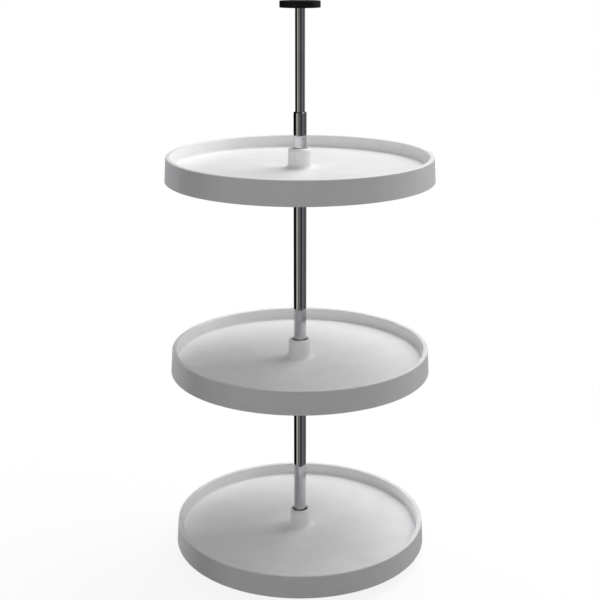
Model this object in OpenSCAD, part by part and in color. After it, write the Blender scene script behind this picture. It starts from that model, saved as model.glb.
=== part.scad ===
// Three-shelf rotating pantry unit on a telescoping pole, in millimetres.
// The origin is on the pole's axis, at the underside of the bottom flange. +Z is up, -Y is the front.
// Each shelf tray turns freely on its own collar, and each collar is clamped to the pole with one set screw.

/* [Shelves] */
// Diameter of a tray at the lower edge of its skirt
tray_d = 559; // [457:1:711]
// Height of a tray from the edge of its skirt to the top of its rim
tray_h = 50; // [44:1:70]
// Height of the tray floor above the edge of the skirt
floor_z = 23.8; // [20:0.1:30]
// Width of the rim, measured across its top
rim_w = 9.8; // [8:0.1:16]
// How far the skirt leans in from its edge to the rim
skirt_lean = 3.5; // [1:0.1:6]
// Thickness of the moulded floor
floor_t = 3; // [2.4:0.1:4]
// Thickness of the rim, the skirt and the hub
wall_t = 2.8; // [2:0.1:3.5]
// Number of radial ribs under a tray
rib_count = 16; // [8:1:24]
// Thickness of a rib
rib_t = 2.2; // [1.6:0.1:3]
// Depth of the ribs below the floor
rib_depth = 12.8; // [8:0.1:14]

/* [Hubs] */
// Outer diameter of the hub
hub_d = 50; // [46:1:70]
// Height of the hub above the tray floor
hub_h = 41; // [38:1:60]
// Diameter of the hole in the top of the hub, wider than the pole
hub_hole_d = 32.8; // [30:0.1:35]
// Radius of the blend between hub and floor
hub_blend_r = 10; // [4:0.5:12]

/* [Pole] */
// Outer diameter of the lower tube
lower_tube_d = 27; // [25:0.1:28]
// Outer diameter of the upper tube, which slides in the lower one
upper_tube_d = 20; // [18:0.05:21]
// Wall of the lower tube
lower_wall = 1.5; // [1.2:0.1:1.6]
// Wall of the upper tube
upper_wall = 1.2; // [1:0.1:1.5]
// Height of the top of the lower tube
lower_tube_top = 983.7; // [960:0.1:1010]
// Length of the upper tube that is inside the lower one
tube_overlap = 300; // [220:1:400]

/* [Setting] */
// Height of the bottom tray's skirt above the cabinet floor
bottom_tray_z = 25; // [24:1:60]
// Height of the middle tray's skirt
middle_tray_z = 432.4; // [300:0.1:500]
// Height of the top tray's skirt
top_tray_z = 846.6; // [700:0.1:880]
// Height of the whole unit, from the cabinet floor to its ceiling
unit_h = 1202; // [1150:1:1300]

/* [Flanges] */
// Diameter of the two mounting flanges
flange_d = 82; // [78:1:110]
// Thickness of the two mounting flanges
flange_h = 13; // [12:0.5:15]
// Diameter of the circle of screw holes
screw_circle_d = 60; // [58:1:62]
// Diameter of a screw hole
screw_hole_d = 5.2; // [4.5:0.1:6]

/* [Hidden] */
$fn = 96;
// Clearance of a running or sliding fit, on the radius
fit = 0.05;
// A length that carries one solid into its neighbour, so that they join
bite = 1;

tray_r = tray_d / 2;
rim_r = tray_r - skirt_lean;
rim_outer_round = 2.5;
rim_inner_round = 2;
floor_round = 5;
wall_lean = 2.1;
rim_inner_r = rim_r - rim_w;
floor_r = rim_inner_r - wall_lean;
floor_under_z = floor_z - floor_t;
rib_z = floor_under_z - rib_depth;
ring_rs = [tray_r * 0.33, tray_r * 0.65];
gusset_top_z = tray_h - 10;

hub_r = hub_d / 2;
hub_top_z = floor_z + hub_h;
hub_round = 6;
hub_hole_r = hub_hole_d / 2;
hub_bore_r = hub_r - wall_t - 0.4;
hub_lip_z = hub_top_z - 4;

bush_flange_t = 2;
bush_h = 26;
washer_t = 1.5;
collar_top_z = rib_z - bush_flange_t - washer_t;
collar_h = 14;
collar_r = 22;
spigot_r = 18;
spigot_top_z = rib_z + bush_h - 4;
collar_screw_d = 6;
collar_screw_l = 8;
collar_screw_z = collar_top_z - collar_h / 2;

lower_r = lower_tube_d / 2;
lower_bore_r = lower_r - lower_wall;
upper_r = upper_tube_d / 2;
upper_bore_r = upper_r - upper_wall;
tube_end_round = 1.2;
tube_end_t = 1.5;
guide_h = 25;
lock_screw_d = 5;
lock_screw_l = 5;
lock_screw_z = lower_tube_top - 14;
lock_boss_r = 4.2;
lock_boss_t = 0.9;
upper_tube_bottom = lower_tube_top - tube_overlap;
glide_h = 10;
glide_plug_h = 15;

flange_r = flange_d / 2;
flange_t = 3;
flange_web = 2.5;
flange_round = 1.2;
socket_wall = 3.2;
screw_boss_r = 6.2;
screw_head_r = 5.2;

// Points of an arc about [x, z], from one angle to another
function arc(x, z, r, from, to, steps = 5) = [
    for (i = [0:steps])
        let (a = from + (to - from) * i / steps)
            [x + r * cos(a), z + r * sin(a)]
];

// Radius of the skirt's outer face at a height above its edge
function skirt_r(z) = tray_r - skirt_lean * z / tray_h;

// Radius of the rim's inner face at a height above the skirt's edge
function rim_face_r(z) = floor_r + wall_lean * (z - floor_z) / (tray_h - floor_z);

module raise(z)
    translate([0, 0, z]) children();

module turned(points)
    rotate_extrude() polygon(points);

// A ring with its edges chamfered, standing on z = 0
module ring(outer_r, inner_r, h, chamfer = 0.4)
    turned([
        [inner_r, 0],
        [outer_r - chamfer, 0],
        [outer_r, chamfer],
        [outer_r, h - chamfer],
        [outer_r - chamfer, h],
        [inner_r, h]
    ]);

// ---- Trays ----

// The moulded skin of a tray: skirt, rolled rim, floor and hub, in one even wall
module tray_skin()
    turned(concat(
        [[tray_r, 0]],
        arc(skirt_r(tray_h - rim_outer_round) - rim_outer_round, tray_h - rim_outer_round, rim_outer_round, 0, 90),
        arc(rim_inner_r + rim_inner_round, tray_h - rim_inner_round, rim_inner_round, 90, 180),
        arc(floor_r - floor_round, floor_z + floor_round, floor_round, 0, -90),
        arc(hub_r + hub_blend_r, floor_z + hub_blend_r, hub_blend_r, 270, 180, 8),
        arc(hub_r - 0.4 - hub_round, hub_top_z - hub_round, hub_round, 0, 90),
        arc(hub_hole_r + 1, hub_top_z - 1, 1, 90, 180, 3),
        [
            [hub_hole_r, hub_lip_z],
            [hub_bore_r, hub_lip_z],
            [hub_bore_r, rib_z],
            [hub_r, rib_z],
            [hub_r, floor_under_z - 1.5],
            [hub_r + 1.5, floor_under_z],
            [rim_face_r(floor_z) + wall_t, floor_under_z],
            [rim_face_r(tray_h) + wall_t, tray_h - wall_t],
            [skirt_r(tray_h) - wall_t, tray_h - wall_t],
            [tray_r - wall_t, 0]
        ]
    ));

// One rib, from the hub to the skirt, with a gusset that rises into the hollow rim
module tray_rib()
    rotate([90, 0, 0]) linear_extrude(height = rib_t, center = true) polygon([
        [hub_r - bite, rib_z],
        [hub_r - bite, floor_under_z + bite],
        [rim_face_r(floor_z) + wall_t / 2, floor_under_z + bite],
        [rim_face_r(gusset_top_z) + wall_t / 2, gusset_top_z],
        [skirt_r(gusset_top_z) - wall_t / 2, gusset_top_z],
        [skirt_r(rib_z) - wall_t / 2, rib_z]
    ]);

module tray()
    color("white") union() {
        tray_skin();
        for (i = [0:rib_count - 1])
            rotate(360 * i / rib_count) tray_rib();
        for (r = ring_rs)
            raise(rib_z + 3) difference() {
                cylinder(r = r + rib_t / 2, h = rib_depth - 3 + bite);
                raise(-1) cylinder(r = r - rib_t / 2, h = rib_depth + 4);
            }
    }

// Flanged sleeve pressed into the hub from below. It turns on the collar's spigot.
module hub_bush()
    color("ivory") turned([
        [spigot_r + fit, rib_z - bush_flange_t],
        [hub_r - 0.4, rib_z - bush_flange_t],
        [hub_r, rib_z - bush_flange_t + 0.4],
        [hub_r, rib_z],
        [hub_bore_r, rib_z],
        [hub_bore_r, rib_z + bush_h - 1],
        [hub_bore_r - 1, rib_z + bush_h],
        [spigot_r + fit, rib_z + bush_h]
    ]);

// Loose ring between the bush and the collar, which carries the weight of the tray
module thrust_washer()
    color("gainsboro") raise(collar_top_z) ring(hub_r - 0.5, spigot_r + fit, washer_t - fit, 0.3);

// Clamped ring with a spigot that rises into the hub
module collar()
    color("dimgray") difference() {
        turned([
            [lower_r + fit, collar_top_z - collar_h],
            [collar_r - 1, collar_top_z - collar_h],
            [collar_r, collar_top_z - collar_h + 1],
            [collar_r, collar_top_z - 2],
            [hub_r, collar_top_z - 1],
            [hub_r, collar_top_z],
            [spigot_r, collar_top_z],
            [spigot_r, spigot_top_z - 1],
            [spigot_r - 1, spigot_top_z],
            [lower_r + fit, spigot_top_z]
        ]);
        translate([0, 0, collar_screw_z]) rotate([-90, 0, 0])
            cylinder(d = collar_screw_d + 2 * fit, h = collar_r + 1);
    }

// Set screw with a hexagon socket, lying along +Y with its tip at the given radius
module set_screw(d, length, tip_r, socket_d)
    color("silver") translate([0, tip_r, 0]) rotate([-90, 0, 0]) difference() {
        turned([
            [0, 0],
            [d / 2 - 0.8, 0],
            [d / 2, 0.8],
            [d / 2, length - 0.4],
            [d / 2 - 0.4, length],
            [0, length]
        ]);
        raise(length / 2) cylinder(d = socket_d, h = length, $fn = 6);
    }

module collar_screw()
    raise(collar_screw_z) set_screw(collar_screw_d, collar_screw_l, lower_r + fit, 3.4);

// ---- Pole ----

// The chromed lower tube. Its upper end is rolled in over the guide bush, and a raised boss
// at the back holds the thread of the lock screw.
module lower_tube()
    color("silver") difference() {
        union() {
            turned(concat(
                [
                    [lower_bore_r, flange_web],
                    [lower_r, flange_web]
                ],
                arc(lower_r - tube_end_round, lower_tube_top - tube_end_round, tube_end_round, 0, 90),
                [
                    [upper_r + 0.5, lower_tube_top],
                    [upper_r + 0.5, lower_tube_top - tube_end_t],
                    [lower_bore_r, lower_tube_top - tube_end_t - 0.8]
                ]
            ));
            translate([0, lower_bore_r + 0.5, lock_screw_z]) rotate([-90, 0, 0])
                cylinder(r = lock_boss_r, h = lower_wall - 0.5 + lock_boss_t);
        }
        translate([0, 0, lock_screw_z]) rotate([-90, 0, 0])
            cylinder(d = lock_screw_d + 2 * fit, h = lower_r + 5);
    }

// Sleeve in the end of the lower tube, in which the upper tube slides
module tube_guide_bush()
    color("dimgray") difference() {
        raise(lower_tube_top - tube_end_t - 1 - guide_h)
            ring(lower_bore_r - fit, upper_r + fit, guide_h, 0.8);
        translate([0, 0, lock_screw_z]) rotate([-90, 0, 0])
            cylinder(d = lock_screw_d + 4 * fit, h = lower_r);
    }

module tube_lock_screw()
    raise(lock_screw_z) set_screw(lock_screw_d, lock_screw_l, upper_r + fit, 2.9);

// The chromed upper tube, set in the top flange
module upper_tube()
    color("silver") raise(upper_tube_bottom)
        ring(upper_r, upper_bore_r, unit_h - flange_web - upper_tube_bottom, 0.3);

// Plug in the lower end of the upper tube, which runs in the bore of the lower tube
module upper_tube_glide()
    color("dimgray") raise(upper_tube_bottom) turned([
        [4, -glide_h],
        [lower_bore_r - fit - 1, -glide_h],
        [lower_bore_r - fit, 1 - glide_h],
        [lower_bore_r - fit, 0],
        [upper_bore_r, 0],
        [upper_bore_r, glide_plug_h - 1],
        [upper_bore_r - 1, glide_plug_h],
        [4, glide_plug_h]
    ]);

// ---- Flanges ----

// Moulded mounting flange: a shallow cup, open on the side that meets the cabinet at z = 0, with
// a socket for the tube, three bosses for countersunk screws and six ribs
module flange(socket_r)
    color("black") difference() {
        union() {
            turned(concat(
                [
                    [0, flange_h - flange_t],
                    [flange_r - flange_t, flange_h - flange_t],
                    [flange_r - flange_t, 0],
                    [flange_r, 0]
                ],
                arc(flange_r - flange_round, flange_h - flange_round, flange_round, 0, 90, 4),
                [[0, flange_h]]
            ));
            cylinder(r = socket_r + socket_wall, h = flange_h - bite);
            for (i = [0:2])
                rotate(90 + 120 * i) translate([screw_circle_d / 2, 0, 0])
                    cylinder(r = screw_boss_r, h = flange_h - bite);
            for (i = [0:5])
                rotate(30 + 60 * i) translate([socket_r + bite, -rib_t / 2, 1])
                    cube([flange_r - socket_r - flange_t, rib_t, flange_h - 1 - bite]);
        }
        raise(flange_web) cylinder(r = socket_r, h = flange_h);
        for (i = [0:2])
            rotate(90 + 120 * i) translate([screw_circle_d / 2, 0, 0]) {
                raise(-1) cylinder(d = screw_hole_d, h = flange_h + 2);
                raise(flange_h - screw_head_r + screw_hole_d / 2)
                    cylinder(d1 = screw_hole_d, r2 = screw_head_r, h = screw_head_r - screw_hole_d / 2);
            }
    }

module bottom_flange()
    flange(lower_r + fit);

module top_flange()
    raise(unit_h) mirror([0, 0, 1]) flange(upper_r + fit);

// ---- The three shelves ----

module bottom_tray()
    raise(bottom_tray_z) tray();

module bottom_hub_bush()
    raise(bottom_tray_z) hub_bush();

module bottom_thrust_washer()
    raise(bottom_tray_z) thrust_washer();

module bottom_collar()
    raise(bottom_tray_z) collar();

module bottom_collar_screw()
    raise(bottom_tray_z) collar_screw();

module middle_tray()
    raise(middle_tray_z) tray();

module middle_hub_bush()
    raise(middle_tray_z) hub_bush();

module middle_thrust_washer()
    raise(middle_tray_z) thrust_washer();

module middle_collar()
    raise(middle_tray_z) collar();

module middle_collar_screw()
    raise(middle_tray_z) collar_screw();

module top_tray()
    raise(top_tray_z) tray();

module top_hub_bush()
    raise(top_tray_z) hub_bush();

module top_thrust_washer()
    raise(top_tray_z) thrust_washer();

module top_collar()
    raise(top_tray_z) collar();

module top_collar_screw()
    raise(top_tray_z) collar_screw();

bottom_flange();
lower_tube();
tube_guide_bush();
tube_lock_screw();
upper_tube();
upper_tube_glide();
top_flange();
bottom_tray();
bottom_hub_bush();
bottom_thrust_washer();
bottom_collar();
bottom_collar_screw();
middle_tray();
middle_hub_bush();
middle_thrust_washer();
middle_collar();
middle_collar_screw();
top_tray();
top_hub_bush();
top_thrust_washer();
top_collar();
top_collar_screw();
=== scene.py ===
import math

import bmesh
import bpy
from mathutils import Matrix, Vector


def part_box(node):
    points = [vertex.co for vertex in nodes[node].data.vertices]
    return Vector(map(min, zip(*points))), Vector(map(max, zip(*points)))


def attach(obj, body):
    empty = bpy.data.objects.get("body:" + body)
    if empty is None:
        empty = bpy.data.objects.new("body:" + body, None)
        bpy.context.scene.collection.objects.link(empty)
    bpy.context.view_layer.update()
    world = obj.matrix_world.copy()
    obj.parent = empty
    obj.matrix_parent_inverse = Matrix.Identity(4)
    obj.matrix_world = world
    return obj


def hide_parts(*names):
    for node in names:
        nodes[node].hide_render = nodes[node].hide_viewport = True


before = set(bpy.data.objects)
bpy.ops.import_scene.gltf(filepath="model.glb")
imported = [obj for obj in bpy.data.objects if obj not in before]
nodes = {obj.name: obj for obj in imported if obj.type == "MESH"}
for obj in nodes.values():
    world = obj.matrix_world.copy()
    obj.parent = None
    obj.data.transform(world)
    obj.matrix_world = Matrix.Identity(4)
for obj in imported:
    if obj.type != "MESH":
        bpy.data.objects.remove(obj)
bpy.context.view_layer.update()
mm = 0.001
shelves = ("bottom", "middle", "top")


# Finishes

def hexColour(code):
    # sRGB hex to the linear values that a shader wants
    parts = [int(code[i:i + 2], 16) / 255 for i in (1, 3, 5)]
    return [p / 12.92 if p <= 0.04045 else ((p + 0.055) / 1.055) ** 2.4 for p in parts] + [1.0]


def addNode(tree, kind, settings=None, links=None):
    # settings are properties or input values, links go from an output to an input
    node = tree.nodes.new("ShaderNode" + kind)
    for key, value in (settings or {}).items():
        if isinstance(key, int) or key in node.inputs:
            node.inputs[key].default_value = value
        else:
            setattr(node, key, value)
    for key, source in (links or {}).items():
        tree.links.new(source, node.inputs[key])
    return node


def newMaterial(name):
    material = bpy.data.materials.new(name)
    material.use_nodes = True
    material.node_tree.nodes.clear()
    return material, material.node_tree


polymer = {
    "white": "#F4F3F4", "shade": "#EFEEEF", "cornerShade": "#D8D8D6",
    "grain": 1.1,          # mm; the mould's spark texture is finer, this is as fine as shows
    "grainHeight": 0.06,   # mm
    "slack": 0.4,          # mm, how far the moulded faces are from flat
    "mottle": 55.0,        # mm
    "flowLines": 14.0,     # to the radian
    "flowBreaks": 3,       # to the metre along them
    "scuffSpacing": 2.4,   # mm
    "scuffBreaks": 3,      # to the radian
    "roughness": 0.4,
    "corner": 264.1,       # mm, where the floor meets the rim's inner face
    "shadeIn": 5.0, "shadeOut": 1.5,  # mm, how far the painted shade reaches from that corner
}


def mouldedPolystyrene():
    # High-impact polystyrene from a spark-eroded mould: an even satin white with a very fine
    # grain, faint flow lines that fan out from the hub, round scuffs from what stands on the
    # shelf, and painted shade, broken up by the grain, in the corner under the rim
    material, tree = newMaterial("moulded white polystyrene")
    place = addNode(tree, "TexCoord").outputs["Object"]
    split = addNode(tree, "SeparateXYZ", links={0: place})
    flat = addNode(tree, "CombineXYZ", links={0: split.outputs[0], 1: split.outputs[1]}).outputs[0]
    radius = addNode(tree, "VectorMath", {"operation": "LENGTH"}, {0: flat}).outputs["Value"]
    heading = addNode(tree, "VectorMath", {"operation": "NORMALIZE"}, {0: flat}).outputs[0]
    aim = addNode(tree, "SeparateXYZ", links={0: heading})
    polar = addNode(tree, "CombineXYZ", links={0: aim.outputs[0], 1: aim.outputs[1], 2: radius}).outputs[0]

    lines, breaks = polymer["flowLines"], polymer["flowBreaks"]
    fan = addNode(tree, "Mapping", {"Scale": (lines, lines, breaks)}, {"Vector": polar}).outputs[0]
    flow = addNode(tree, "TexNoise", {"Scale": 1.0, "Detail": 3.0}, {"Vector": fan}).outputs[0]
    spacing, breaks = polymer["scuffSpacing"] * mm, polymer["scuffBreaks"]
    arcs = addNode(tree, "Mapping", {"Scale": (breaks, breaks, 1 / spacing)}, {"Vector": polar}).outputs[0]
    rough = {"Scale": 1.0, "Detail": 4.0, "Roughness": 0.62}
    scuffs = addNode(tree, "TexNoise", rough, {"Vector": arcs}).outputs[0]
    broad = {"Scale": 1 / (polymer["mottle"] * mm), "Detail": 3.0}
    mottle = addNode(tree, "TexNoise", broad, {"Vector": place}).outputs[0]
    fine = {"Scale": 1 / (polymer["grain"] * mm), "Detail": 1.0}
    grain = addNode(tree, "TexNoise", fine, {"Vector": place}).outputs[0]

    white, shade, cornerShade = (hexColour(polymer[key]) for key in ("white", "shade", "cornerShade"))
    patchy = addNode(tree, "MapRange", {1: 0.35, 2: 0.65, 3: 0.0, 4: 1.0}, {0: mottle}).outputs[0]
    tint = addNode(tree, "Mix", {"data_type": "RGBA", 6: white, 7: shade}, {0: patchy}).outputs[2]
    streaky = addNode(tree, "MapRange", {1: 0.45, 2: 0.75, 3: 0.0, 4: 0.5}, {0: flow}).outputs[0]
    tint = addNode(tree, "Mix", {"data_type": "RGBA", 7: shade}, {0: streaky, 6: tint}).outputs[2]
    # painted shade: darker towards the corner where the floor meets the rim, broken up by the grain
    corner = polymer["corner"] * mm
    start, end = corner - polymer["shadeIn"] * mm, corner + polymer["shadeOut"] * mm
    inward = addNode(tree, "MapRange", {1: start, 2: corner, 3: 0.0, 4: 1.0}, {0: radius}).outputs[0]
    outward = addNode(tree, "MapRange", {1: corner, 2: end, 3: 1.0, 4: 0.0}, {0: radius}).outputs[0]
    speckle = addNode(tree, "MapRange", {1: 0.4, 2: 0.7, 3: 0.15, 4: 0.6}, {0: grain}).outputs[0]
    cornerShading = addNode(tree, "Math", {"operation": "MULTIPLY"}, {0: inward, 1: outward}).outputs[0]
    cornerShading = addNode(tree, "Math", {"operation": "MULTIPLY"}, {0: cornerShading, 1: speckle}).outputs[0]
    tint = addNode(tree, "Mix", {"data_type": "RGBA", 7: cornerShade}, {0: cornerShading, 6: tint}).outputs[2]

    rubbed = addNode(tree, "MapRange", {1: 0.5, 2: 0.72, 3: 0.0, 4: 0.1}, {0: scuffs}).outputs[0]
    dull = addNode(tree, "Math", {"operation": "ADD", 1: polymer["roughness"]}, {0: rubbed}).outputs[0]
    loose = {"Distance": polymer["slack"] * mm, "Strength": 0.12}
    slack = addNode(tree, "Bump", loose, {"Height": mottle}).outputs[0]
    pitted = {"Distance": polymer["grainHeight"] * mm, "Strength": 0.35}
    sparked = addNode(tree, "Bump", pitted, {"Height": grain, "Normal": slack}).outputs[0]
    surface = {"Base Color": tint, "Roughness": dull, "Normal": sparked}
    shader = addNode(tree, "BsdfPrincipled", {"IOR": 1.49}, surface)
    addNode(tree, "OutputMaterial", links={"Surface": shader.outputs[0]})
    return material


chrome = {
    "bright": "#C6C7C9", "hazy": "#BEBFC1", "roughness": 0.03,
    "duller": 0.04,        # how much rougher it is where it is hazy
    "polishLine": 0.35,    # mm
    "polishDepth": 0.01,   # mm
    "wave": 6.0,           # mm
    "waveDepth": 0.06,     # mm
    "haze": 30.0,          # mm
}


def platedTube():
    # Steel tube, polished along its length and chrome-plated: a hard mirror that shows the glowing
    # cards round it as upright bands, broken a little by polishing lines and by waviness under the plating
    material, tree = newMaterial("chrome-plated steel tube")
    place = addNode(tree, "TexCoord").outputs["Object"]
    long = addNode(tree, "Mapping", {"Scale": (1, 1, 0.01)}, {"Vector": place}).outputs[0]
    lines = addNode(tree, "TexNoise", {"Scale": 1 / (chrome["polishLine"] * mm)}, {"Vector": long}).outputs[0]
    tall = addNode(tree, "Mapping", {"Scale": (1, 1, 0.3)}, {"Vector": place}).outputs[0]
    waves = addNode(tree, "TexNoise", {"Scale": 1 / (chrome["wave"] * mm)}, {"Vector": tall}).outputs[0]
    soft = {"Scale": 1 / (chrome["haze"] * mm), "Detail": 4.0}
    haze = addNode(tree, "TexNoise", soft, {"Vector": place}).outputs[0]

    cloudy = addNode(tree, "MapRange", {1: 0.35, 2: 0.65, 3: 0.0, 4: 1.0}, {0: haze}).outputs[0]
    bright, hazy = hexColour(chrome["bright"]), hexColour(chrome["hazy"])
    tint = addNode(tree, "Mix", {"data_type": "RGBA", 6: bright, 7: hazy}, {0: cloudy}).outputs[2]
    low = chrome["roughness"]
    spread = {1: 0.3, 2: 0.75, 3: low, 4: low + chrome["duller"]}
    dull = addNode(tree, "MapRange", spread, {0: haze}).outputs[0]
    uneven = {"Distance": chrome["waveDepth"] * mm, "Strength": 0.08}
    wavy = addNode(tree, "Bump", uneven, {"Height": waves}).outputs[0]
    drawn = {"Distance": chrome["polishDepth"] * mm, "Strength": 0.12}
    polished = addNode(tree, "Bump", drawn, {"Height": lines, "Normal": wavy}).outputs[0]
    surface = {"Base Color": tint, "Roughness": dull, "Normal": polished}
    shader = addNode(tree, "BsdfPrincipled", {"Metallic": 1.0}, surface)
    addNode(tree, "OutputMaterial", links={"Surface": shader.outputs[0]})
    return material


polyamide = {
    "flange": {
        "name": "moulded black polyamide", "black": "#161618", "fibre": "#222224",
        "roughness": 0.6, "grain": 0.9,  # mm
    },
    "inner": {
        "name": "glass-filled black nylon", "black": "#1C1C1E", "fibre": "#38383A",
        "roughness": 0.46, "grain": 0.6,  # mm
    },
    "cloud": 14.0,         # mm, the patches where more glass shows
    "grainDepth": 0.08,    # mm
}


def mouldedPolyamide(kind):
    # Glass-filled polyamide, moulded: near black with a fine leathery grain, and greyer where the
    # glass fibres lie at the surface
    values = polyamide[kind]
    material, tree = newMaterial(values["name"])
    place = addNode(tree, "TexCoord").outputs["Object"]
    leather = {"Scale": 1 / (values["grain"] * mm), "Detail": 3.0, "Roughness": 0.6}
    grain = addNode(tree, "TexNoise", leather, {"Vector": place}).outputs[0]
    patches = {"Scale": 1 / (polyamide["cloud"] * mm), "Detail": 3.0}
    cloud = addNode(tree, "TexNoise", patches, {"Vector": place}).outputs[0]
    black, grey = hexColour(values["black"]), hexColour(values["fibre"])
    raised = addNode(tree, "MapRange", {1: 0.45, 2: 0.75, 3: 0.0, 4: 0.6}, {0: grain}).outputs[0]
    tint = addNode(tree, "Mix", {"data_type": "RGBA", 6: black, 7: grey}, {0: raised}).outputs[2]
    clouded = addNode(tree, "MapRange", {1: 0.45, 2: 0.8, 3: 0.0, 4: 0.6}, {0: cloud}).outputs[0]
    tint = addNode(tree, "Mix", {"data_type": "RGBA", 7: grey}, {0: clouded, 6: tint}).outputs[2]
    middle = values["roughness"]
    spread = {1: 0.3, 2: 0.7, 3: middle - 0.06, 4: middle + 0.08}
    dull = addNode(tree, "MapRange", spread, {0: cloud}).outputs[0]
    leathery = {"Distance": polyamide["grainDepth"] * mm, "Strength": 0.25}
    grained = addNode(tree, "Bump", leathery, {"Height": grain}).outputs[0]
    surface = {"Base Color": tint, "Roughness": dull, "Normal": grained}
    shader = addNode(tree, "BsdfPrincipled", {"IOR": 1.53, "Specular IOR Level": 0.25}, surface)
    addNode(tree, "OutputMaterial", links={"Surface": shader.outputs[0]})
    return material


acetal = {
    "pale": "#E6E3D8", "ivory": "#D9D5C8", "roughness": 0.3,
    "duller": 0.12,        # how much rougher the ivory patches are
    "cloud": 9.0,          # mm
    "grain": 0.6,          # mm
    "grainDepth": 0.04,    # mm
}


def mouldedAcetal():
    # Natural acetal, moulded: waxy and slightly yellow, smooth enough to slide on nylon
    material, tree = newMaterial("moulded natural acetal")
    place = addNode(tree, "TexCoord").outputs["Object"]
    cloudy = {"Scale": 1 / (acetal["cloud"] * mm), "Detail": 3.0}
    cloud = addNode(tree, "TexNoise", cloudy, {"Vector": place}).outputs[0]
    fine = addNode(tree, "TexNoise", {"Scale": 1 / (acetal["grain"] * mm)}, {"Vector": place}).outputs[0]
    pale, ivory = hexColour(acetal["pale"]), hexColour(acetal["ivory"])
    clouded = addNode(tree, "MapRange", {1: 0.35, 2: 0.7, 3: 0.0, 4: 1.0}, {0: cloud}).outputs[0]
    tint = addNode(tree, "Mix", {"data_type": "RGBA", 6: pale, 7: ivory}, {0: clouded}).outputs[2]
    low = acetal["roughness"]
    spread = {1: 0.3, 2: 0.7, 3: low, 4: low + acetal["duller"]}
    dull = addNode(tree, "MapRange", spread, {0: cloud}).outputs[0]
    worn = {"Distance": acetal["grainDepth"] * mm, "Strength": 0.3}
    waxy = addNode(tree, "Bump", worn, {"Height": fine}).outputs[0]
    surface = {"Base Color": tint, "Roughness": dull, "Normal": waxy}
    shader = addNode(tree, "BsdfPrincipled", {"IOR": 1.48}, surface)
    addNode(tree, "OutputMaterial", links={"Surface": shader.outputs[0]})
    return material


zinc = {
    "light": "#B4B7BB", "dark": "#94979B", "roughness": 0.26,
    "duller": 0.16,        # how much rougher the dark patches are
    "cloud": 2.2,          # mm
    "grain": 0.3,          # mm
    "grainDepth": 0.03,    # mm
}


def zincPlatedScrew():
    # Zinc-plated steel: bluish grey under a cloudy passivation, with a fine drawn texture
    material, tree = newMaterial("zinc-plated steel screw")
    place = addNode(tree, "TexCoord").outputs["Object"]
    cloudy = {"Scale": 1 / (zinc["cloud"] * mm), "Detail": 4.0}
    cloud = addNode(tree, "TexNoise", cloudy, {"Vector": place}).outputs[0]
    fine = addNode(tree, "TexNoise", {"Scale": 1 / (zinc["grain"] * mm)}, {"Vector": place}).outputs[0]
    light, dark = hexColour(zinc["light"]), hexColour(zinc["dark"])
    clouded = addNode(tree, "MapRange", {1: 0.35, 2: 0.7, 3: 0.0, 4: 1.0}, {0: cloud}).outputs[0]
    tint = addNode(tree, "Mix", {"data_type": "RGBA", 6: light, 7: dark}, {0: clouded}).outputs[2]
    low = zinc["roughness"]
    spread = {1: 0.3, 2: 0.7, 3: low, 4: low + zinc["duller"]}
    dull = addNode(tree, "MapRange", spread, {0: cloud}).outputs[0]
    scratched = {"Distance": zinc["grainDepth"] * mm, "Strength": 0.3}
    drawn = addNode(tree, "Bump", scratched, {"Height": fine}).outputs[0]
    surface = {"Base Color": tint, "Roughness": dull, "Normal": drawn}
    shader = addNode(tree, "BsdfPrincipled", {"Metallic": 1.0}, surface)
    addNode(tree, "OutputMaterial", links={"Surface": shader.outputs[0]})
    return material


materials = {
    "tray_polymer": mouldedPolystyrene(),
    "chrome": platedTube(),
    "black_moulding": mouldedPolyamide("flange"),
    "black_nylon": mouldedPolyamide("inner"),
    "acetal": mouldedAcetal(),
    "zinc_steel": zincPlatedScrew(),
}
print("finishes:", ", ".join(m.name for m in materials.values()))


# Shapes. An outline is a list of corners, (radius, height, rounding) in mm, that turns about the
# pole's axis.

bite = 1.0  # mm, how far a rib or a boss runs into what it meets


def holdRoundings(corners):
    # a point on the straight just past each rounding, so that smooth shading stays flat beyond it
    reach, past, apart = 1.15, 0.25, 0.3  # a share of the rounding, then mm
    held = []
    for i, (r, z, rounding) in enumerate(corners):
        sides = []
        for near in (corners[i - 1], corners[(i + 1) % len(corners)]):
            length = math.hypot(near[0] - r, near[1] - z)
            share = (rounding * reach + past) / length
            fits = rounding and share < 1 - (near[2] * reach + apart) / length
            sides.append([(r + (near[0] - r) * share, z + (near[1] - z) * share)] if fits else [])
        held += sides[0] + [(r, z)] + sides[1]
    return held


def turn(bm, corners, steps, low=0.0):
    # one full turn of the outline, whose corners are then rounded
    slip = 2e-6  # metres, how far off its corner's circle a point may be
    old = set(bm.verts)
    ring = [bm.verts.new((r * mm, 0, (low + z) * mm)) for r, z in holdRoundings(corners)]
    sides = [
        bm.edges.new(pair)
        for pair in zip(ring, ring[1:] + ring[:1])
        if pair[0].co.x > 0 or pair[1].co.x > 0
    ]
    bmesh.ops.spin(
        bm, geom=ring + sides, axis=(0, 0, 1), cent=(0, 0, 0),
        angle=math.tau, steps=steps, use_merge=True,
    )
    bmesh.ops.remove_doubles(bm, verts=[v for v in bm.verts if v not in old], dist=slip / 2)
    bmesh.ops.recalc_face_normals(bm, faces=bm.faces)
    for radius, height, rounding in corners:
        if not rounding:
            continue
        hoop = [
            e for e in bm.edges
            if e.verts[0] not in old and all(
                abs(math.hypot(v.co.x, v.co.y) - radius * mm) < slip
                and abs(v.co.z - (low + height) * mm) < slip
                for v in e.verts
            )
        ]
        bmesh.ops.bevel(
            bm, geom=hoop, offset=rounding * mm, offset_type="OFFSET",
            segments=max(4, min(10, round(rounding * 2))),  # two to the mm
            profile=0.5, affect="EDGES", material=-1,
        )
    return [v for v in bm.verts if v not in old]


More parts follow.
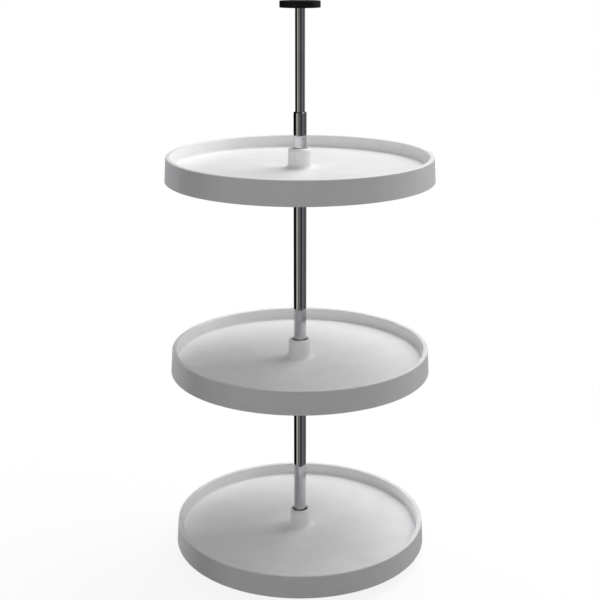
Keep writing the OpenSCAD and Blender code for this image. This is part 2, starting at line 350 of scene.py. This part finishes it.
def slab(bm, outline, thickness, angle):
    # a flat rib of that (radius, height) outline, stood on a radius and turned to its angle
    face = bm.faces.new([bm.verts.new((r * mm, -thickness / 2 * mm, z * mm)) for r, z in outline])
    grown = bmesh.ops.extrude_face_region(bm, geom=[face])["geom"]
    moved = [v for v in grown if isinstance(v, bmesh.types.BMVert)]
    bmesh.ops.translate(bm, verts=moved, vec=(0, thickness * mm, 0))
    bmesh.ops.rotate(
        bm, verts=list(set(face.verts) | set(moved)), cent=(0, 0, 0),
        matrix=Matrix.Rotation(angle, 3, "Z"),
    )


def lie(bm, verts, height):
    # lays what was turned upright along +Y, at this height
    bmesh.ops.rotate(bm, verts=verts, cent=(0, 0, 0), matrix=Matrix.Rotation(math.radians(-90), 3, "X"))
    bmesh.ops.translate(bm, verts=verts, vec=(0, 0, height * mm))


def toObject(bm, name):
    bmesh.ops.recalc_face_normals(bm, faces=bm.faces)
    mesh = bpy.data.meshes.new(name)
    bm.to_mesh(mesh)
    bm.free()
    obj = bpy.data.objects.new(name, mesh)
    bpy.context.scene.collection.objects.link(obj)
    return obj


def combine(obj, tools, operation):
    # adds the tools to the piece or cuts it with them, and takes them away
    for tool in tools:
        modifier = obj.modifiers.new("tool", "BOOLEAN")
        modifier.operation = operation
        modifier.solver = "EXACT"
        modifier.object = tool
    mesh = bpy.data.meshes.new_from_object(obj.evaluated_get(bpy.context.evaluated_depsgraph_get()))
    obj.modifiers.clear()
    obj.data = mesh
    for tool in tools:
        bpy.data.objects.remove(tool)


def finishPiece(obj, body, node, slot):
    obj.data.shade_smooth()
    obj.data.set_sharp_from_angle(angle=math.radians(32))
    obj.data.materials.clear()
    obj.data.materials.append(materials[slot])
    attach(obj, body)
    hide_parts(node)


grubScrew = {"tip": 0.8, "end": 0.4, "steps": 32}  # mm of chamfer


def setScrew(name, body, node, socketWidth):
    # a set screw along +Y: chamfered ends, hexagon socket
    low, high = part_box(node)
    radius = (high.x - low.x) / 2 / mm
    tip, end = low.y / mm, high.y / mm
    height = (low.z + high.z) / 2 / mm
    sharp, blunt = grubScrew["tip"], grubScrew["end"]
    bm = bmesh.new()
    verts = turn(bm, [
        (0, tip, 0), (radius - sharp, tip, 0), (radius, tip + sharp, 0),
        (radius, end - blunt, 0), (radius - blunt, end, 0), (0, end, 0),
    ], grubScrew["steps"])
    lie(bm, verts, height)
    screw = toObject(bm, name)
    bm = bmesh.new()
    across = socketWidth / math.sqrt(3) * mm
    verts = bmesh.ops.create_cone(
        bm, cap_ends=True, segments=6, radius1=across, radius2=across, depth=(end - tip) * mm,
    )["verts"]
    bmesh.ops.translate(bm, verts=verts, vec=(0, 0, end * mm))
    lie(bm, verts, height)
    combine(screw, [toObject(bm, "socketCutter")], "DIFFERENCE")
    finishPiece(screw, body, node, "zinc_steel")


# Trays

tray = {
    "height": 50.0, "floor": 23.8, "floorThickness": 3.0, "wall": 2.8,
    "rimWidth": 9.8, "lean": 3.5, "wallLean": 2.1,
    "rimRound": 2.5, "rimInnerRound": 2.0, "floorRound": 5.0,
    "skirtRound": 0.7, "skirtInnerRound": 0.5, "underRound": 0.8, "hubFootRound": 1.4,
    "hubRadius": 25.0, "hubLean": 0.4, "hubHole": 16.4, "hubBore": 21.8,
    "hubBlend": 10.0, "hubRound": 6.0, "holeRound": 1.0, "lip": 4.0,
    "ribs": 16, "ribThickness": 2.2, "ribDepth": 12.8, "gussetTop": 40.0,
    "ringRibs": (0.33, 0.65),  # as shares of the tray's radius
    "ringRise": 3.0,           # mm, how much shallower they are than the straight ribs
    "steps": 288, "ringSteps": 144,
}


def buildTray(shelf):
    low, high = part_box(shelf + "_tray")
    base = low.z / mm
    outer = high.x / mm
    hubTop = (high.z - low.z) / mm
    rim = outer - tray["lean"]
    inner = rim - tray["rimWidth"]
    floorRadius = inner - tray["wallLean"]
    under = tray["floor"] - tray["floorThickness"]
    ribLow = under - tray["ribDepth"]
    wall, top, hub = tray["wall"], tray["height"], tray["hubRadius"]

    bm = bmesh.new()
    turn(bm, [
        (outer, 0, tray["skirtRound"]),
        (rim, top, tray["rimRound"]),
        (inner, top, tray["rimInnerRound"]),
        (floorRadius, tray["floor"], tray["floorRound"]),
        (hub, tray["floor"], tray["hubBlend"]),
        (hub - tray["hubLean"], hubTop, tray["hubRound"]),
        (tray["hubHole"], hubTop, tray["holeRound"]),
        (tray["hubHole"], hubTop - tray["lip"], 0),
        (tray["hubBore"], hubTop - tray["lip"], 0),
        (tray["hubBore"], ribLow, 0),
        (hub, ribLow, 0),
        (hub, under, tray["hubFootRound"]),
        (floorRadius + wall, under, tray["underRound"]),
        (inner + wall, top - wall, tray["underRound"]),
        (rim - wall, top - wall, tray["underRound"]),
        (outer - wall, 0, tray["skirtInnerRound"]),
    ], tray["steps"], base)
    # the straight ribs, whose ends stay within the walls that they meet
    rib = [
        (hub - 0.6, ribLow + 0.1), (hub - 0.6, under + bite), (floorRadius + wall / 2, under + bite),
        (inner + 0.8, tray["gussetTop"]), (rim - 0.5, tray["gussetTop"]), (outer - 1.6, ribLow + 0.1),
    ]
    for i in range(tray["ribs"]):
        slab(bm, [(r, base + z) for r, z in rib], tray["ribThickness"], math.tau * i / tray["ribs"])
    half, ringLow = tray["ribThickness"] / 2, ribLow + tray["ringRise"]
    for share in tray["ringRibs"]:
        r = outer * share
        turn(bm, [
            (r - half, ringLow, 0), (r + half, ringLow, 0),
            (r + half, under + bite, 0), (r - half, under + bite, 0),
        ], tray["ringSteps"], base)
    finishPiece(toObject(bm, shelf + "Tray"), shelf + "_shelf", shelf + "_tray", "tray_polymer")


bearing = {
    "spigot": 18.0, "clearance": 0.05, "bushFlange": 2.0,
    "collar": 22.0, "lip": 2.0, "collarSocket": 3.0, "steps": 96, "holeSteps": 48,
}


def buildBearing(shelf):
    # the bush in the hub, the washer under it, and the collar with its set screw
    steps, gap = bearing["steps"], bearing["clearance"]
    spigot = bearing["spigot"]
    low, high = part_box(shelf + "_hub_bush")
    bottom, top, outer = low.z / mm, high.z / mm, high.x / mm
    ledge = bottom + bearing["bushFlange"]
    bm = bmesh.new()
    turn(bm, [
        (spigot + gap, bottom, 0.3), (outer, bottom, 0.4), (outer, ledge, 0),
        (tray["hubBore"], ledge, 0), (tray["hubBore"], top, 0.9), (spigot + gap, top, 0.3),
    ], steps)
    finishPiece(toObject(bm, shelf + "HubBush"), shelf + "_shelf", shelf + "_hub_bush", "acetal")

    low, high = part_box(shelf + "_thrust_washer")
    seat, top, outer = low.z / mm, high.z / mm, high.x / mm
    bm = bmesh.new()
    turn(bm, [(spigot + gap, seat, 0), (outer, seat, 0.3), (outer, top, 0.3), (spigot + gap, top, 0)], steps)
    finishPiece(toObject(bm, shelf + "ThrustWasher"), shelf + "_support", shelf + "_thrust_washer", "acetal")

    low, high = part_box(shelf + "_collar")
    screwLow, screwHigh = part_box(shelf + "_collar_screw")
    bottom, top, outer = low.z / mm, high.z / mm, high.x / mm
    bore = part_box("lower_tube")[1].x / mm + gap
    body = bearing["collar"]
    bm = bmesh.new()
    turn(bm, [
        (bore, bottom, 0.4), (body, bottom, 1), (body, seat - bearing["lip"], 0),
        (outer, seat - bearing["lip"] / 2, 0), (outer, seat, 0.2),
        (spigot, seat, 0), (spigot, top, 1), (bore, top, 0.4),
    ], steps)
    collar = toObject(bm, shelf + "Collar")
    bm = bmesh.new()
    hole = (screwHigh.x - screwLow.x) / 2 / mm + gap
    outside = body + 2 * bite
    drill = [(0, bore, 0), (hole, bore, 0), (hole, outside, 0), (0, outside, 0)]
    lie(bm, turn(bm, drill, bearing["holeSteps"]), (screwLow.z + screwHigh.z) / 2 / mm)
    combine(collar, [toObject(bm, "holeCutter")], "DIFFERENCE")
    finishPiece(collar, shelf + "_support", shelf + "_collar", "black_nylon")
    setScrew(shelf + "CollarScrew", shelf + "_support", shelf + "_collar_screw", bearing["collarSocket"])


for shelf in shelves:
    buildTray(shelf)
    buildBearing(shelf)
    print("shelf:", shelf, "tray, bush, washer, collar and set screw")


# Pole

pole = {
    "lowerWall": 1.5, "upperWall": 1.2,
    "endRound": 1.2, "endThickness": 1.5, "endGap": 0.5, "endTaper": 0.8,
    "boss": 4.2, "bossSteps": 48, "lockSocket": 2.5, "steps": 160,
}


def buildPole():
    low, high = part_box("lower_tube")
    upperLow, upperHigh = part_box("upper_tube")
    outer, inner = high.x / mm, upperHigh.x / mm
    bottom, top, back = low.z / mm, high.z / mm, high.y / mm
    bore = outer - pole["lowerWall"]
    mouth, under = inner + pole["endGap"], top - pole["endThickness"]
    bm = bmesh.new()
    turn(bm, [
        (bore, bottom, 0), (outer, bottom, 0.3), (outer, top, pole["endRound"]), (mouth, top, 0),
        (mouth, under, 0), (bore, under - pole["endTaper"], 0),
    ], pole["steps"])
    screwLow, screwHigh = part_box("tube_lock_screw")
    hole = (screwHigh.x - screwLow.x) / 2 / mm + bearing["clearance"]
    root = outer - bite
    boss = turn(bm, [
        (hole, root, 0), (pole["boss"], root, 0), (pole["boss"], back, 0.4), (hole, back, 0.2),
    ], pole["bossSteps"])
    lie(bm, boss, (screwLow.z + screwHigh.z) / 2 / mm)
    finishPiece(toObject(bm, "lowerTube"), "pole", "lower_tube", "chrome")
    setScrew("lockScrew", "pole", "tube_lock_screw", pole["lockSocket"])

    bore = inner - pole["upperWall"]
    bottom, top = upperLow.z / mm, upperHigh.z / mm
    bm = bmesh.new()
    turn(bm, [(bore, bottom, 0), (inner, bottom, 0.3), (inner, top, 0.3), (bore, top, 0)], pole["steps"])
    finishPiece(toObject(bm, "upperTube"), "upper_mast", "upper_tube", "chrome")
    for node in ("tube_guide_bush", "upper_tube_glide"):
        nodes[node].data.materials.clear()
        nodes[node].data.materials.append(materials["black_nylon"])


buildPole()
print("pole: two tubes, lock screw, guide bush and glide")


# Flanges

flange = {
    "wall": 3.0, "web": 2.5, "edgeRound": 1.2, "socketWall": 3.2, "ribThickness": 2.2,
    "screwCircle": 30.0, "screwBoss": 6.2, "screwHole": 2.6, "screwHead": 5.2,
    "steps": 144, "screwSteps": 48,
}


def buildFlange(name, body, node, tubeRadius, upsideDown):
    # a shallow cup, open towards the cabinet, with a socket, three screw bosses and six ribs
    low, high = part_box(node)
    outer = high.x / mm
    height = (high.z - low.z) / mm
    wall, hole, head = flange["wall"], flange["screwHole"], flange["screwHead"]
    skin = height - wall
    socket = tubeRadius + bearing["clearance"]
    boss = socket + flange["socketWall"]
    bm = bmesh.new()
    turn(bm, [
        (0, 0, 0), (boss, 0, 0.4), (boss, skin, 0), (outer - wall, skin, 0),
        (outer - wall, 0, 0), (outer, 0, 0.3), (outer, height, flange["edgeRound"]),
        (socket, height, 0.4), (socket, flange["web"], 0), (0, flange["web"], 0),
    ], flange["steps"])
    cup = toObject(bm, name)

    ribs, bosses, holes = bmesh.new(), bmesh.new(), bmesh.new()
    ends = (boss - bite, outer - bite)
    rib = [(ends[0], bite), (ends[1], bite), (ends[1], skin + bite), (ends[0], skin + bite)]
    for i in range(6):
        slab(ribs, rib, flange["ribThickness"], math.radians(30 + 60 * i))
    over = bite / 2  # the cutter opens beyond the face
    countersink = [
        (0, -bite, 0), (hole, -bite, 0), (hole, height - head + hole, 0),
        (head + over, height + over, 0), (0, height + over, 0),
    ]
    width, steps = flange["screwBoss"], flange["screwSteps"]
    post = [(0, 0, 0), (width, 0, 0), (width, skin + bite, 0), (0, skin + bite, 0)]
    first = Vector((flange["screwCircle"] * mm, 0, 0))
    for i in range(3):
        place = Matrix.Rotation(math.radians(90 + 120 * i), 3, "Z") @ first
        bmesh.ops.translate(bosses, verts=turn(bosses, post, steps), vec=place)
        bmesh.ops.translate(holes, verts=turn(holes, countersink, steps), vec=place)
    combine(cup, [toObject(ribs, "flangeRibs"), toObject(bosses, "flangeBosses")], "UNION")
    combine(cup, [toObject(holes, "flangeHoles")], "DIFFERENCE")
    if upsideDown:
        cup.data.transform(Matrix.Translation((0, 0, high.z)) @ Matrix.Rotation(math.pi, 4, "Y"))
    finishPiece(cup, body, node, "black_moulding")


buildFlange("bottomFlange", "pole", "bottom_flange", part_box("lower_tube")[1].x / mm, False)
buildFlange("topFlange", "upper_mast", "top_flange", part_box("upper_tube")[1].x / mm, True)
print("flanges: bottom and top")


# Studio

studio = {
    "floorSize": 16.0,     # metres
    "shadowDepth": 0.12,   # how much of the floor's light the lamps give, near the object
    "shadowNear": 0.5, "shadowFar": 1.4,  # metres, where that starts to fade and is gone
    "bounce": "#616161",   # what the floor gives back to the underside of the shelves
    "cardRadius": 3.2, "cardLow": -3.0, "cardHigh": 1.35,
    "canopyLow": 1.36, "canopyTop": 8.0, "canopy": "#161616",
    "fill": 0.338,
    "lampDistance": 3.4, "lampCentre": 0.6,  # metres from the middle of the pole, and its height
    # the glowing cards round the pole, seen only in reflections, as (degrees from the front towards +X,
    # colour)
    "cards": (
        (-180, "#9A9A9C"), (-158, "#9A9A9C"), (-152, "#020202"), (-80, "#020202"), (-70, "#6E6D69"),
        (-64, "#D0CEC8"), (-44, "#D0CEC8"), (-38, "#767573"), (-24, "#767573"), (-20, "#888888"),
        (-8, "#888888"), (-2, "#5E5E60"), (10, "#5C5C5E"), (15, "#303136"), (29, "#303136"),
        (36, "#6C6E73"), (50, "#7C7E84"), (68, "#7C7E84"), (78, "#636368"), (94, "#636368"),
        (110, "#737277"), (180, "#66666B"),
    ),
}


def buildFloor():
    # white paper that looks white to the camera, and still takes the object's soft shadow
    bm = bmesh.new()
    bmesh.ops.create_grid(bm, x_segments=1, y_segments=1, size=studio["floorSize"] / 2)
    floor = toObject(bm, "studioFloor")
    material, tree = newMaterial("white seamless paper")
    place = addNode(tree, "TexCoord").outputs["Object"]
    far = addNode(tree, "VectorMath", {"operation": "LENGTH"}, {0: place}).outputs["Value"]
    fade = {1: studio["shadowNear"], 2: studio["shadowFar"], 3: studio["shadowDepth"], 4: 0.0}
    depth = addNode(tree, "MapRange", fade, {0: far}).outputs[0]
    white = hexColour("#FFFFFF")
    paper = addNode(tree, "BsdfDiffuse", {"Color": white})
    glow = addNode(tree, "Emission", {"Color": white, "Strength": 1.0})
    seen = addNode(tree, "MixShader", links={0: depth, 1: glow.outputs[0], 2: paper.outputs[0]})
    plain = addNode(tree, "BsdfDiffuse", {"Color": hexColour(studio["bounce"])})
    camera = addNode(tree, "LightPath").outputs["Is Camera Ray"]
    either = addNode(tree, "MixShader", links={0: camera, 1: plain.outputs[0], 2: seen.outputs[0]})
    addNode(tree, "OutputMaterial", links={"Surface": either.outputs[0]})
    floor.data.materials.append(material)
    floor.visible_glossy = False


def bendCard(name, low, high, material):
    # a card bent round the pole, from one (radius, height) to another; only shiny faces show it
    bm = bmesh.new()
    start, end = (bm.verts.new((radius, 0, height)) for radius, height in (low, high))
    side = bm.edges.new((start, end))
    bmesh.ops.spin(
        bm, geom=[start, end, side], axis=(0, 0, 1), cent=(0, 0, 0),
        angle=math.tau, steps=96, use_merge=True,
    )
    card = toObject(bm, name)
    card.data.materials.append(material)
    card.visible_camera = card.visible_diffuse = card.visible_transmission = card.visible_shadow = False


def buildCards():
    # glowing grey and black cards round the pole, seen only in reflections: painted reflections that make the
    # bands in the chrome
    material, tree = newMaterial("glowing reflection card")
    split = addNode(tree, "SeparateXYZ", links={0: addNode(tree, "TexCoord").outputs["Object"]})
    front = addNode(tree, "Math", {"operation": "MULTIPLY", 1: -1.0}, {0: split.outputs[1]}).outputs[0]
    angle = addNode(tree, "Math", {"operation": "ARCTAN2"}, {0: split.outputs[0], 1: front}).outputs[0]
    share = addNode(tree, "MapRange", {1: -math.pi, 2: math.pi, 3: 0.0, 4: 1.0}, {0: angle}).outputs[0]
    ramp = addNode(tree, "ValToRGB", links={0: share})
    stops = ramp.color_ramp.elements
    while len(stops) < len(studio["cards"]):
        stops.new(0.5)
    for stop, (degrees, colour) in zip(stops, studio["cards"]):
        stop.position = (degrees + 180) / 360
        stop.color = hexColour(colour)
    glow = addNode(tree, "Emission", links={"Color": ramp.outputs[0]})
    addNode(tree, "OutputMaterial", links={"Surface": glow.outputs[0]})
    radius = studio["cardRadius"]
    bendCard("studioCards", (radius, studio["cardLow"]), (radius, studio["cardHigh"]), material)

    # a dark glowing canopy above them, seen only in reflections: painted dark reflection overhead for shiny
    # faces
    material, tree = newMaterial("dark glowing reflection canopy")
    glow = addNode(tree, "Emission", {"Color": hexColour(studio["canopy"])})
    addNode(tree, "OutputMaterial", links={"Surface": glow.outputs[0]})
    bendCard("studioCanopy", (radius, studio["canopyLow"]), (0.02, studio["canopyTop"]), material)


def buildWorld():
    world = bpy.data.worlds.new("studio")
    bpy.context.scene.world = world
    world.use_nodes = True
    tree = world.node_tree
    tree.nodes.clear()
    ray = addNode(tree, "LightPath").outputs
    larger = {"operation": "MAXIMUM"}
    seen = addNode(tree, "Math", larger, {0: ray["Is Camera Ray"], 1: ray["Is Glossy Ray"]}).outputs[0]
    seen = addNode(tree, "Math", larger, {0: seen, 1: ray["Is Transmission Ray"]}).outputs[0]
    white = addNode(tree, "Background", {"Color": hexColour("#FFFFFF"), "Strength": 1.0})
    fill = addNode(tree, "Background", {"Color": hexColour("#FFFFFF"), "Strength": studio["fill"]})
    either = addNode(tree, "MixShader", links={0: seen, 1: fill.outputs[0], 2: white.outputs[0]})
    addNode(tree, "OutputWorld", links={"Surface": either.outputs[0]})


# turn is in degrees from the front towards +X, height in degrees above the level, power in watts;
# a lamp without shine isn't mirrored
softboxes = {
    "key": {"turn": 129, "height": 50, "size": 3.0, "power": 79.5, "colour": "#FFFFFF"},
    "overheadBack": {"turn": 160, "height": 68, "size": 1.8, "power": 32, "colour": "#FFFFFF"},
    "backRight": {"turn": 116, "height": 19, "size": 1.4, "power": 13, "colour": "#FDFDFF"},
    "backLeft": {"turn": -137, "height": -6, "size": 0.5, "power": 75, "colour": "#F8F9FF", "shine": False},
    "front": {"turn": 0, "height": 24, "size": 1.4, "power": 8, "colour": "#FFFFFF"},
}


def buildSoftboxes():
    middle = Vector((0, 0, studio["lampCentre"]))
    for name, box in softboxes.items():
        light = bpy.data.lights.new(name, "AREA")
        light.shape = "SQUARE"
        light.size = box["size"]
        light.energy = box["power"]
        light.color = hexColour(box["colour"])[:3]
        obj = bpy.data.objects.new(name, light)
        around, up = math.radians(box["turn"]), math.radians(box["height"])
        aim = Vector((math.sin(around) * math.cos(up), -math.cos(around) * math.cos(up), math.sin(up)))
        obj.location = middle + studio["lampDistance"] * aim
        obj.rotation_euler = aim.to_track_quat("Z", "Y").to_euler()
        obj.visible_glossy = box.get("shine", True)
        bpy.context.scene.collection.objects.link(obj)


camera = {
    "pitch": 18.0,          # degrees below the level
    "distance": 2.3200,     # metres in front of the pole
    "height": 1.2867,       # metres above the underside of the bottom flange
    "focalPixels": 1129.8,  # in the 600 pixel frame
    "axisRow": 322.6,       # the row that the lens's axis meets
    "frame": 600,
}


def buildCamera():
    view = bpy.data.cameras.new("camera")
    view.sensor_width = 36
    view.lens = camera["focalPixels"] / camera["frame"] * view.sensor_width
    view.shift_y = (camera["axisRow"] - camera["frame"] / 2) / camera["frame"]
    obj = bpy.data.objects.new("camera", view)
    obj.location = (0, -camera["distance"], camera["height"])
    obj.rotation_euler = (math.radians(90 - camera["pitch"]), 0, 0)
    bpy.context.scene.collection.objects.link(obj)
    bpy.context.scene.camera = obj


buildFloor()
buildCards()
buildWorld()
buildSoftboxes()
buildCamera()
bpy.context.scene.view_settings.view_transform = "Standard"
print("studio: floor, cards, softboxes and camera")
